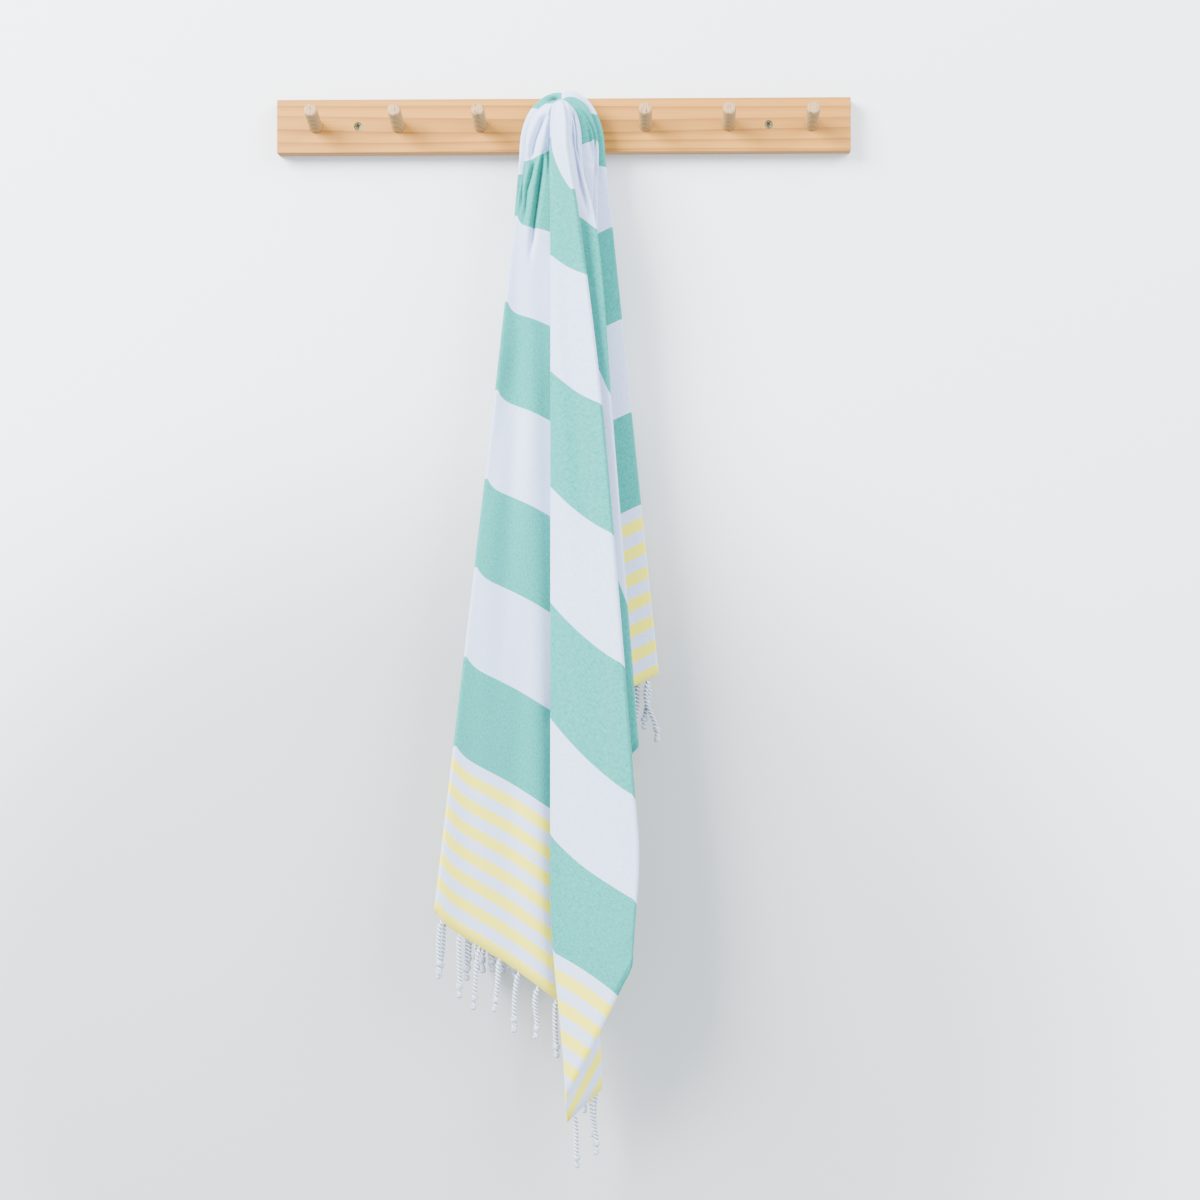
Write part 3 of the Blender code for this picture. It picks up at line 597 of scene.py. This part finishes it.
# Further down, every line runs evenly from its place at the neck to its place at the hem, less
# the cloth drawn back at the neck, which fades out. Bows shift the stripes between the folds.
hang_u = neck_u + (foot_u - neck_u) * drop
hang_v = neck_v + (foot_v - neck_v) * drop
fade = (1 - np.clip((NECK_Z - hang_z) / dip_drop, 0.0, 1.0)) ** 2
hang_v = hang_v - dip * fade
low_down = soft((-0.70 - hang_z) / 0.20)
near_edge = np.where(first == OUTER, 1 - fold_mix, np.where(second == OUTER, fold_mix, 0.0))
hang_v = hang_v + (bow * (1 - drop) + right_bow * (1 - low_down)) * (APEX_Z - hang_z)
hang_v = hang_v + 0.037 * near_edge * low_down
crown_v = ridge_v + (hang_v[0] - ridge_v) * t ** late
crown_u = ridge_u * (1 - t) + hang_u[0] * t
flat_u = np.concatenate((crown_u, hang_u))
flat_v = np.concatenate((crown_v, hang_v))


def ripples(place):
    """Soft ripples that fan out from the peg and are the same through all layers, as they are
    pressed together: sines over the place across the hanging bundle, growing downwards."""
    x, y, z = place[..., 0], place[..., 1], place[..., 2]
    down = np.clip(-z - 0.03, 0.0, None)
    width = 0.045 + 0.085 * np.clip(down, 0.0, 0.8)
    across = (x - 0.05 * down) / width
    lift = (np.sin(7.1 * across + 0.8 + 2.0 * down) * 0.9
            + np.sin(13.3 * across + 2.1 - 3.1 * down) * 0.5
            + np.sin(3.1 * across - 5.2 * down) * 0.6)
    size = 0.0026 * soft(down / 0.25) * np.clip(-y / 0.05, 0.0, 1.0)
    return np.stack((0.0 * x, lift * size, 0.0 * x), axis=-1)


# Creases where the cloth is gathered and soft troughs lower down, as lines seen from the front:
# millimetres across and up at each point, half width, and how far it is pressed in. Where that is
# negative the cloth stands out as a soft ridge.
CREASES = (
    (((-5, 22), (-9, 6), (-12, -14), (-13, -34), (-12, -62)), 2.6, 9.0),
    (((-16, 19), (-9, 22), (-3, 21)), 1.8, 6.0),
    (((11, 18), (13, -30), (21, -72), (31, -112)), 2.3, 9.0),
    (((-10, 6), (-20, -4), (-27, -22), (-33, -50)), 3.0, 9.0),
    (((-15, -24), (-18, -40), (-22, -66), (-28, -107), (-33, -150)), 2.6, 9.0),
    (((-22, -34), (-29, -50), (-36, -76), (-39, -110)), 2.2, 7.0),
    (((-36, -38), (-40, -62), (-43, -100)), 1.9, 5.5),
    (((3, -12), (8, -50), (15, -100), (22, -160)), 3.6, -2.6),
    (((20, 12), (27, -6), (31, -28), (38, -70)), 2.2, 4.0),
    (((-48, -230), (-62, -300), (-78, -420)), 9.0, 2.6),
    (((-30, -260), (-40, -380), (-52, -560), (-62, -760)), 12.0, -3.0),
    (((14, -240), (24, -360), (38, -520), (50, -700)), 10.0, 2.8),
    (((30, -330), (48, -500), (62, -680), (66, -840)), 9.0, -2.2),
    (((-2, -600), (-14, -625), (-26, -640)), 4.0, 1.6),
    (((60, -868), (72, -862), (80, -850)), 3.0, 3.0),
)


def creased(place):
    """How far the cloth is pressed in at each point: for every crease a bell over the distance
    from its line, fading out over a centimetre beyond its ends."""
    flat = place[..., (0, 2)]
    depth = np.zeros(place.shape[:2])
    for line, half_width, pressed in CREASES:
        points = np.array(line, float) / 1000
        nearest = np.full(place.shape[:2], np.inf)
        for start, end in zip(points[:-1], points[1:]):
            along = np.clip(np.sum((flat - start) * (end - start), axis=-1)
                            / np.sum((end - start) ** 2), 0.0, 1.0)
            gap = flat - (start + along[..., None] * (end - start))
            nearest = np.minimum(nearest, np.linalg.norm(gap, axis=-1))
        ends = np.minimum(np.linalg.norm(flat - points[0], axis=-1),
                          np.linalg.norm(flat - points[-1], axis=-1))
        reach = np.linalg.norm(points[-1] - points[0])
        depth += (pressed / 1000 * np.exp(-(nearest * 1000 / half_width) ** 2)
                  * soft(ends / (0.35 * reach) + 0.15))
    return depth


towel_grid = towel_grid + ripples(towel_grid)
inwards = creased(towel_grid) * np.clip(-towel_grid[..., 1] / 0.05, 0.0, 1.0)
towel_grid[..., 1] += inwards


def sheet_mesh(name, grid, u, v):
    """The folded sheet as a mesh with its flat place in a UV map. Its first row lies on the peg's
    ridge, where the left half's points are the right half's."""
    rows, count = grid.shape[:2]
    index = np.arange(rows * count).reshape(rows, count)
    index[0, PIVOT * PER_STEP + 1:] = index[0, :PIVOT * PER_STEP][::-1]
    quads = np.stack((index[:-1, :-1], index[1:, :-1], index[1:, 1:], index[:-1, 1:]), axis=-1)
    corners = np.arange(rows * count).reshape(rows, count)
    corners = np.stack((corners[:-1, :-1], corners[1:, :-1], corners[1:, 1:], corners[:-1, 1:]),
                       axis=-1).reshape(-1)
    used, compact = np.unique(quads.reshape(-1), return_inverse=True)
    mesh = bpy.data.meshes.new(name)
    mesh.from_pydata(grid.reshape(-1, 3)[used], [], compact.reshape(-1, 4))
    flat = np.stack((u.reshape(-1)[corners], v.reshape(-1)[corners]), axis=-1)
    layer = mesh.uv_layers.new(name="flat_towel")
    layer.data.foreach_set("uv", flat.astype(np.float32).ravel())
    mesh.shade_smooth()
    return mesh


def weave_group():
    """Plain weave seen from a step away. Weft threads run across and warp threads down the
    cloth, each a little uneven in thickness. Gives how much of the coloured weft shows, and the
    height of the threads."""
    tree, take, give = new_group(
        "plain_weave", (("Flat", "Vector"), ("Pitch", "Float")),
        (("Cover", "Float"), ("Height", "Float")))
    scaled = node(tree, "VectorMath", take.outputs["Flat"], operation="SCALE")
    tree.links.new(reckon(tree, "DIVIDE", 1.0, take.outputs["Pitch"]), scaled.inputs["Scale"])
    weft = node(tree, "TexNoise", node(tree, "Mapping", scaled.outputs[0], None, None,
                                       (0.16, 1.0, 1.0)).outputs[0], None, 1.0, 2.0, 0.7)
    warp = node(tree, "TexNoise", node(tree, "Mapping", scaled.outputs[0], (7.3, 1.9, 0.0), None,
                                       (1.0, 0.10, 1.0)).outputs[0], None, 1.0, 2.0, 0.7)
    slub = node(tree, "TexNoise", node(tree, "Mapping", scaled.outputs[0], (3.1, 5.7, 0.0), None,
                                       (0.30, 0.30, 1.0)).outputs[0], None, 1.0, 3.0, 0.8)
    both = reckon(tree, "ADD", weft.outputs[0], reckon(tree, "MULTIPLY", slub.outputs[0], 1.3))
    cover = node(tree, "MapRange", reckon(tree, "SUBTRACT", both,
                                          reckon(tree, "MULTIPLY", warp.outputs[0], 0.7)),
                 0.45, 1.15, 0.0, 1.0)
    tree.links.new(cover.outputs[0], give.inputs["Cover"])
    height = reckon(tree, "ADD", weft.outputs[0], warp.outputs[0])
    tree.links.new(height, give.inputs["Height"])
    return tree


# Metres down the cloth. The stripes are the same on both sides of its middle, which lies on the
# front, and end in a border of thin stripes before each hem.
TOWEL_MIDDLE = 0.1005
WIDE_STRIPE = 0.10057
BORDER_START = 0.6535
THIN_STRIPE = 0.01329
SELVEDGE = 0.007
HALF_WIDTH = 0.442
THREAD_PITCH = 0.0011

plain_weave = weave_group()
cotton, tree, shader = new_finish("towel_cotton", 0.88, Specular_IOR_Level=0.2,
                                  Sheen_Weight=0.25, Sheen_Roughness=0.5)
flat = node(tree, "UVMap", uv_map="flat_towel").outputs[0]
u, v = node(tree, "SeparateXYZ", flat).outputs[:2]
weave = placed(tree, plain_weave, Flat=flat, Pitch=THREAD_PITCH)
from_middle = reckon(tree, "ABSOLUTE", reckon(tree, "SUBTRACT", v, TOWEL_MIDDLE))
wide = reckon(tree, "LESS_THAN", reckon(tree, "MODULO", reckon(
    tree, "ADD", from_middle, WIDE_STRIPE / 2), 2 * WIDE_STRIPE), WIDE_STRIPE)
in_border = reckon(tree, "GREATER_THAN", from_middle, BORDER_START)
narrow = reckon(tree, "GREATER_THAN", reckon(tree, "MODULO", reckon(
    tree, "SUBTRACT", from_middle, BORDER_START), 2 * THIN_STRIPE), THIN_STRIPE)
mint = reckon(tree, "MULTIPLY", wide, reckon(tree, "SUBTRACT", 1.0, in_border))
yellow = reckon(tree, "MULTIPLY", narrow, in_border)
middle_u = (TO_RIGHT_SELVEDGE - TO_LEFT_SELVEDGE) / 2
selvedge = reckon(tree, "GREATER_THAN", reckon(tree, "ABSOLUTE", reckon(
    tree, "SUBTRACT", u, middle_u)), HALF_WIDTH - SELVEDGE)
dense = reckon(tree, "MULTIPLY_ADD", selvedge, 0.35, 0.20)
shows = node(tree, "Math", weave.outputs["Cover"], 0.80, dense, operation="MULTIPLY_ADD",
             use_clamp=True).outputs[0]
white = mixed(tree, weave.outputs["Cover"], (0.46, 0.55, 0.78), (0.58, 0.67, 0.92))
mint_yarn = mixed(tree, shows, (0.050, 0.40, 0.36), (0.003, 0.22, 0.185))
yellow_yarn = mixed(tree, shows, (0.80, 0.76, 0.16), (0.88, 0.76, 0.004))
coloured = mixed(tree, yellow, mint_yarn, yellow_yarn)
painted = reckon(tree, "ADD", mint, yellow)
tree.links.new(mixed(tree, painted, white, coloured), shader.inputs["Base Color"])
relief = node(tree, "Bump", 0.35, 0.0004)
tree.links.new(weave.outputs["Height"], relief.inputs["Height"])
tree.links.new(relief.outputs[0], shader.inputs["Normal"])

mesh = sheet_mesh("striped_towel", towel_grid, flat_u, flat_v)
towel = show(mesh, "striped_towel", cotton)
thick = towel.modifiers.new("cloth_thickness", "SOLIDIFY")
thick.thickness = SHEET
thick.offset = 0.0
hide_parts("towel_cloth")


# Tassels. The warp threads of both ends, twisted in pairs into cords of about 60 mm, knotted and
# cut off below the knot. They hang at even spaces along both hems.
FRONT_PITCH = 0.0245
BACK_PITCH = 0.0185
TASSEL_LENGTH = 0.060
CORD_RADIUS = 0.00225
TWIST_LENGTH = 0.0078


def tassel_roots(low, high, pitch, clear):
    """Places along a hem, evenly spaced and kept clear of the folds' turns:
    position, direction along the hem, direction down the cloth."""
    hem = towel_grid[-1, low:high]
    down = unit(towel_grid[-1, low:high] - towel_grid[-4, low:high])
    along = np.concatenate(((0.0,), np.cumsum(np.linalg.norm(np.diff(hem, axis=0), axis=1))))
    count = int(along[-1] / pitch)
    roots = along[-1] * (np.arange(count) + 0.5) / count
    for mark in along[in_turn[low:high] & (turn_at[low:high] == 0.0)]:
        off = roots - mark
        roots = np.where((off < 0) & (off > -clear[0]), mark - clear[0], roots)
        roots = np.where((off >= 0) & (off < clear[1]), mark + clear[1], roots)

    def at(where, values):
        return np.stack([np.interp(where, along, values[:, k]) for k in range(3)], axis=-1)

    place = at(roots, hem)
    run = unit(at(roots + 0.001, hem) - at(roots - 0.001, hem))
    return place, run, unit(at(roots, down))


def tassel_grids(place, run, down, splay, seed):
    """Two-ply cords, one for each root, as an array of tassels by rings by points. The centre
    line leaves the hem at right angles and soon hangs straight. The section is a circle with two
    lobes that turn once in 7.8 mm; a knot swells it near the end and a cut tuft flares below."""
    random = np.random.default_rng(seed)
    count = len(place)
    s = np.linspace(0.0, 1.0, 76)[None, :, None]
    length = TASSEL_LENGTH * random.uniform(0.90, 1.10, count)[:, None, None]
    off = unit(down - run * np.sum(down * run, axis=1, keepdims=True))[:, None, :]
    lean = random.normal(0.0, 0.045, (count, 1, 3)) * np.array((1.0, 0.35, 0.0))
    curl = random.normal(0.0, 0.0016, (count, 1, 3)) * np.array((1.0, 0.5, 0.0))
    fall = np.array((0.0, 0.0, -1.0)) + lean + splay * off * np.array((1.0, 1.0, 0.0))
    fall = fall + np.array((0.0, 0.02, 0.0))
    centre = (place[:, None, :] - off * 0.0008 + unit(fall) * s * length
              + off * 0.0022 * (1 - np.exp(-s * 14))
              + curl * np.sin(np.pi * s * random.uniform(1.0, 2.2, (count, 1, 1))))
    turn = np.linspace(0.0, 2 * np.pi, 14, endpoint=False)[None, None, :]
    run_flat = unit(run * np.array((1.0, 1.0, 0.0)))[:, None, None, :]
    square = np.stack((-run_flat[..., 1], run_flat[..., 0], 0.0 * run_flat[..., 0]), axis=-1)
    reach = s * length
    twist = 2 * np.pi * reach / TWIST_LENGTH + random.uniform(0, 6.28, (count, 1, 1))
    lobes = 1 + 0.34 * np.cos(2 * (turn - twist))
    root = 0.35 + 0.65 * soft(reach / 0.005)
    knot_at = 0.79 + random.uniform(-0.02, 0.02, (count, 1, 1))
    knot = np.exp(-((s - knot_at) / 0.042) ** 4)
    tuft = soft((s - knot_at - 0.05) / 0.12)
    neck = np.exp(-((s - knot_at - 0.065) / 0.018) ** 2)
    wide = CORD_RADIUS * (root + 0.62 * knot + 0.28 * tuft - 0.25 * neck)
    ragged = 1 + 0.16 * tuft * np.sin(5 * turn + 9 * s + twist[:, :1]) - 0.30 * (s > 0.985)
    lobes = lobes * (1 - knot) + (1 + 0.10 * np.cos(3 * turn + 160 * s)) * knot
    lobes = lobes * (1 - tuft) + ragged * tuft
    closed = np.where((s == 0.0) | (s == 1.0), 0.02, 1.0)
    radius = (wide * lobes * closed)[..., None]
    around = (run_flat * np.cos(turn)[..., None] + square * np.sin(turn)[..., None])
    # How deep each point lies in the twist's grooves, kept for the painted shade in them.
    groove_shade = np.clip((1.15 - lobes) / 0.45, 0.0, 1.0)
    return centre[:, :, None, :] + around * radius, groove_shade


def tassel_mesh(name, grids, groove_shade):
    """All tassels of one end in one mesh, with the depth of the twist's grooves, by which the
    material paints shade into them.
    """
    count, rings, points = grids.shape[:3]
    index = np.arange(count * rings * points).reshape(count, rings, points)
    index = np.concatenate((index, index[:, :, :1]), axis=2)
    quads = np.stack((index[:, :-1, :-1], index[:, :-1, 1:], index[:, 1:, 1:], index[:, 1:, :-1]),
                     axis=-1).reshape(-1, 4)
    mesh = bpy.data.meshes.new(name)
    mesh.from_pydata(grids.reshape(-1, 3), [], quads)
    layer = mesh.attributes.new("groove_shade", "FLOAT", "POINT")
    layer.data.foreach_set("value", np.ascontiguousarray(groove_shade, np.float32).ravel())
    tidy(mesh, 0.00012)
    return mesh


yarn, tree, shader = new_finish("tassel_cotton", 0.9, Specular_IOR_Level=0.2,
                                Sheen_Weight=0.3, Sheen_Roughness=0.5)
place = node(tree, "TexCoord").outputs["Object"]
strand = node(tree, "TexNoise", place, None, 1400.0, 3.0, 0.7)
thread = mixed(tree, strand.outputs[0], (0.52, 0.58, 0.70), (0.74, 0.80, 0.91))
# Painted shade: the twist's grooves are darkened towards a dark grey-blue by their depth.
painted_groove_shade = node(tree, "Attribute", attribute_name="groove_shade").outputs["Fac"]
tree.links.new(mixed(tree, painted_groove_shade, thread, (0.17, 0.20, 0.25)), shader.inputs["Base Color"])
relief = node(tree, "Bump", 0.5, 0.0004)
tree.links.new(strand.outputs[0], relief.inputs["Height"])
tree.links.new(relief.outputs[0], shader.inputs["Normal"])

FRONT_HEM = (0, 34 * PER_STEP + 1)
BACK_HEM = (78 * PER_STEP, STEPS * PER_STEP + 1)
for name, ends, splay, clear, seed in (
        ("front_tassels", (*FRONT_HEM, FRONT_PITCH), 0.12, (0.010, 0.010), 5),
        ("back_tassels", (*BACK_HEM, BACK_PITCH), 0.10, (0.010, 0.014), 8)):
    place, run, down = tassel_roots(*ends, clear)
    grids, groove_shade = tassel_grids(place, run, down, splay, seed)
    fringe = show(tassel_mesh(name, grids, groove_shade), name, yarn)
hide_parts("front_fringe")
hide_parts("back_fringe")


# Backdrop and floor. A pale sheet just behind the board, seen only from the room side, and a
# pale floor. Neither lights nor shades the object.
def stage_sheet(name, corners, colour):
    """A flat sheet, see-through from behind, with painted shade: darker round a point below the
    towel's left, for the towel's soft shadow and the dimmer light low down.
    """
    mesh = bpy.data.meshes.new(name)
    mesh.from_pydata(corners, [], [(0, 1, 2, 3)])
    made = bpy.data.objects.new(name, mesh)
    bpy.context.scene.collection.objects.link(made)
    finish, tree, shader = new_finish(name, 0.9, Specular_IOR_Level=0.1)
    place = node(tree, "TexCoord").outputs["Object"]
    # Painted shade: the colour is darkened to 0.62 round a point below the towel's left and eases
    # back to full within a metre.
    moved = node(tree, "VectorMath", place, (0.10, 0.0, 0.95), operation="ADD")
    far = node(tree, "VectorMath", moved.outputs[0], (1.11, 0.0, 1.33), operation="MULTIPLY")
    reach = node(tree, "VectorMath", far.outputs[0], operation="LENGTH").outputs["Value"]
    painted_shade = node(tree, "MapRange", reach, 0.5, 0.95, 0.62, 1.0, interpolation_type="SMOOTHSTEP")
    tint = node(tree, "VectorMath", colour, operation="SCALE")
    tree.links.new(painted_shade.outputs[0], tint.inputs["Scale"])
    tree.links.new(tint.outputs[0], shader.inputs["Base Color"])
    back = tree.nodes.new("ShaderNodeNewGeometry").outputs["Backfacing"]
    clear = node(tree, "BsdfTransparent")
    both = node(tree, "MixShader", back, shader.outputs[0], clear.outputs[0])
    output = tree.nodes["Material Output"]
    tree.links.new(both.outputs[0], output.inputs["Surface"])
    mesh.materials.append(finish)
    made.visible_diffuse = False
    made.visible_glossy = False
    made.visible_shadow = False
    return made


stage_sheet("backdrop", [(-3.0, 0.0006, -1.4), (3.0, 0.0006, -1.4), (3.0, 0.0006, 2.2),
                         (-3.0, 0.0006, 2.2)], (0.83, 0.84, 0.86))
stage_sheet("floor", [(-3.0, -4.5, -1.4), (3.0, -4.5, -1.4), (3.0, 0.0006, -1.4),
                      (-3.0, 0.0006, -1.4)], (0.80, 0.80, 0.80))


# Light. A large soft window on the left in front, and even light from everywhere else.
def area_light(name, place, aim, size, power, colour):
    """A rectangular light at a place, turned towards a point."""
    data = bpy.data.lights.new(name, "AREA")
    data.shape = "RECTANGLE"
    data.size, data.size_y = size
    data.energy = power
    data.color = colour
    made = bpy.data.objects.new(name, data)
    made.location = place
    made.rotation_euler = (Vector(aim) - Vector(place)).to_track_quat("-Z", "Y").to_euler()
    bpy.context.scene.collection.objects.link(made)
    return made


area_light("window", (-2.1, -2.0, 1.3), (0.0, 0.0, -0.3), (1.7, 1.7), 520.0, (0.97, 0.98, 1.0))
area_light("room", (2.3, -2.1, 1.2), (0.1, 0.0, -0.3), (2.2, 2.2), 230.0, (0.92, 0.96, 1.0))
world = bpy.data.worlds.new("world")
world.use_nodes = True
world.node_tree.nodes["Background"].inputs[0].default_value = (0.86, 0.94, 1.0, 1.0)
world.node_tree.nodes["Background"].inputs[1].default_value = 1.76
bpy.context.scene.world = world
